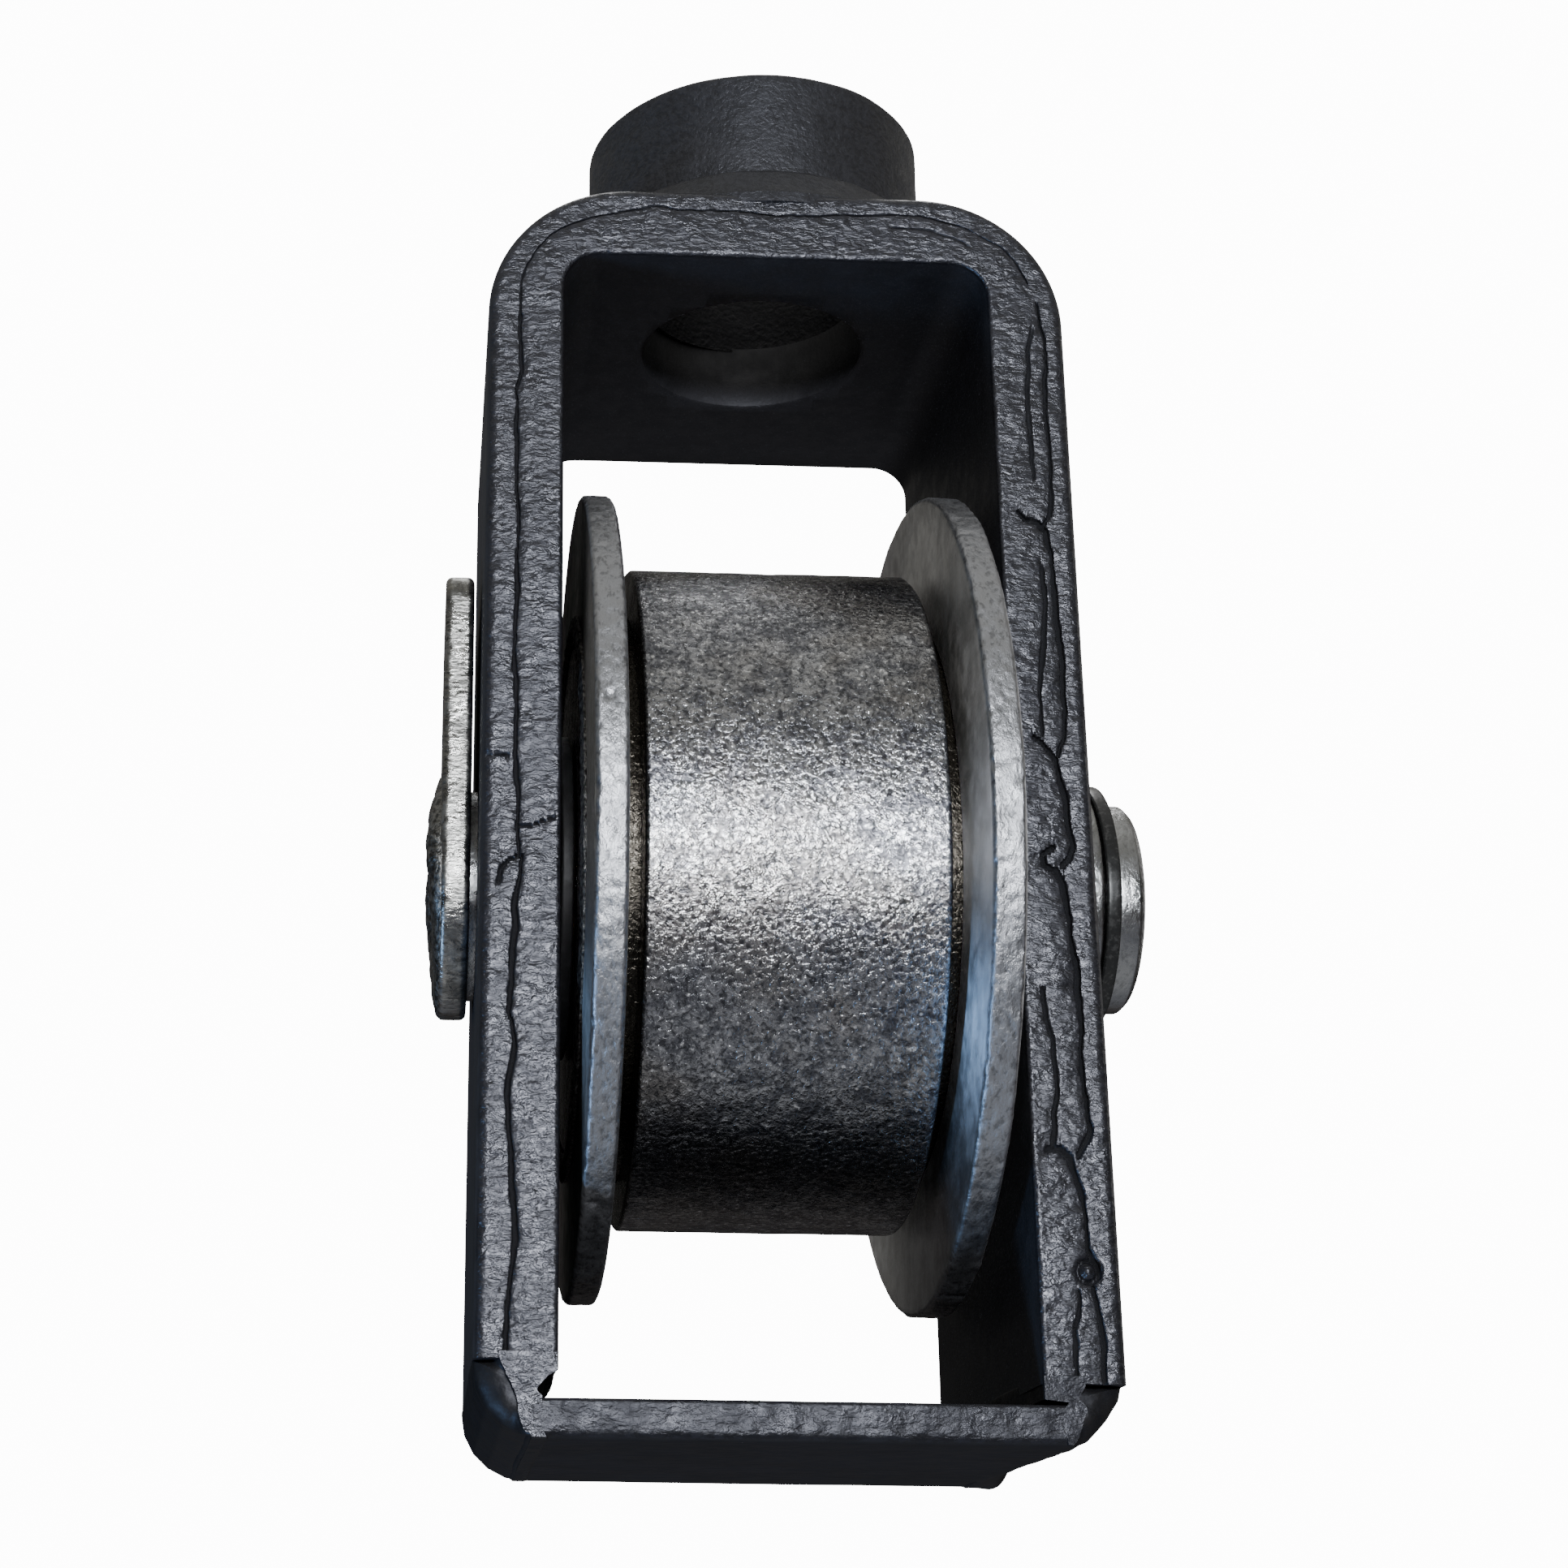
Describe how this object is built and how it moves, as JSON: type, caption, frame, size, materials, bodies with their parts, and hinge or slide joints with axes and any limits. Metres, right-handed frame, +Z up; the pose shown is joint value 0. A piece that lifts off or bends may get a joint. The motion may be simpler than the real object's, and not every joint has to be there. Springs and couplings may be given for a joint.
{
  "type": "bow roller",
  "caption": "Flanged steel roller turning on a pin in a closed steel yoke, with a bored socket boss welded on top of the yoke.",
  "frame": {"origin": "centre of the bottom bar's underside, midway between the yoke's legs and its two cut edges", "axes": "+X along the pin from the keeper plate to the retaining ring, +Z up to the socket boss, -Y the side from which the boss sits a little forward"},
  "size_m": [0.0953, 0.1112, 0.1882],
  "materials": {
    "black_powder_coat": "satin fine texture",
    "weld_coated": "satin weld bead under powder coat",
    "zinc_plate": "satin zinc plate",
    "roller_zinc": "rough zinc plate",
    "weld_zinc": "zinc plated weld bead",
    "ring_steel": "dark phosphated spring steel",
    "bronze": "satin bearing bronze",
    "black_nylon": "matte moulded nylon"
  },
  "bodies": {
    "yoke": {"yoke_strap": "black_powder_coat", "bottom_bar": "black_powder_coat", "corner_weld_left": "weld_coated", "corner_weld_right": "weld_coated", "boss_tube": "black_powder_coat", "boss_weld": "weld_coated"},
    "pin": {"pin_shaft": "zinc_plate", "keeper_plate": "zinc_plate", "keeper_weld": "weld_zinc", "pin_spacer": "zinc_plate", "snap_ring": "ring_steel"},
    "roller": {"hub": "roller_zinc", "drum_sleeve": "roller_zinc", "flange_left": "roller_zinc", "flange_right": "roller_zinc", "flange_weld_left": "weld_zinc", "flange_weld_right": "weld_zinc", "bushing_left": "bronze", "bushing_right": "bronze", "thrust_washer_left": "black_nylon", "thrust_washer_right": "black_nylon"}
  },
  "joints": [
    {"name": "roller_spin", "type": "hinge", "parent": "yoke", "child": "roller", "pos_m": [0, 0, 0.075], "axis": [1, 0, 0], "continuous": true},
    {"name": "pin_turn", "type": "hinge", "parent": "yoke", "child": "pin", "pos_m": [0, 0, 0.075], "axis": [1, 0, 0], "continuous": true}
  ]
}
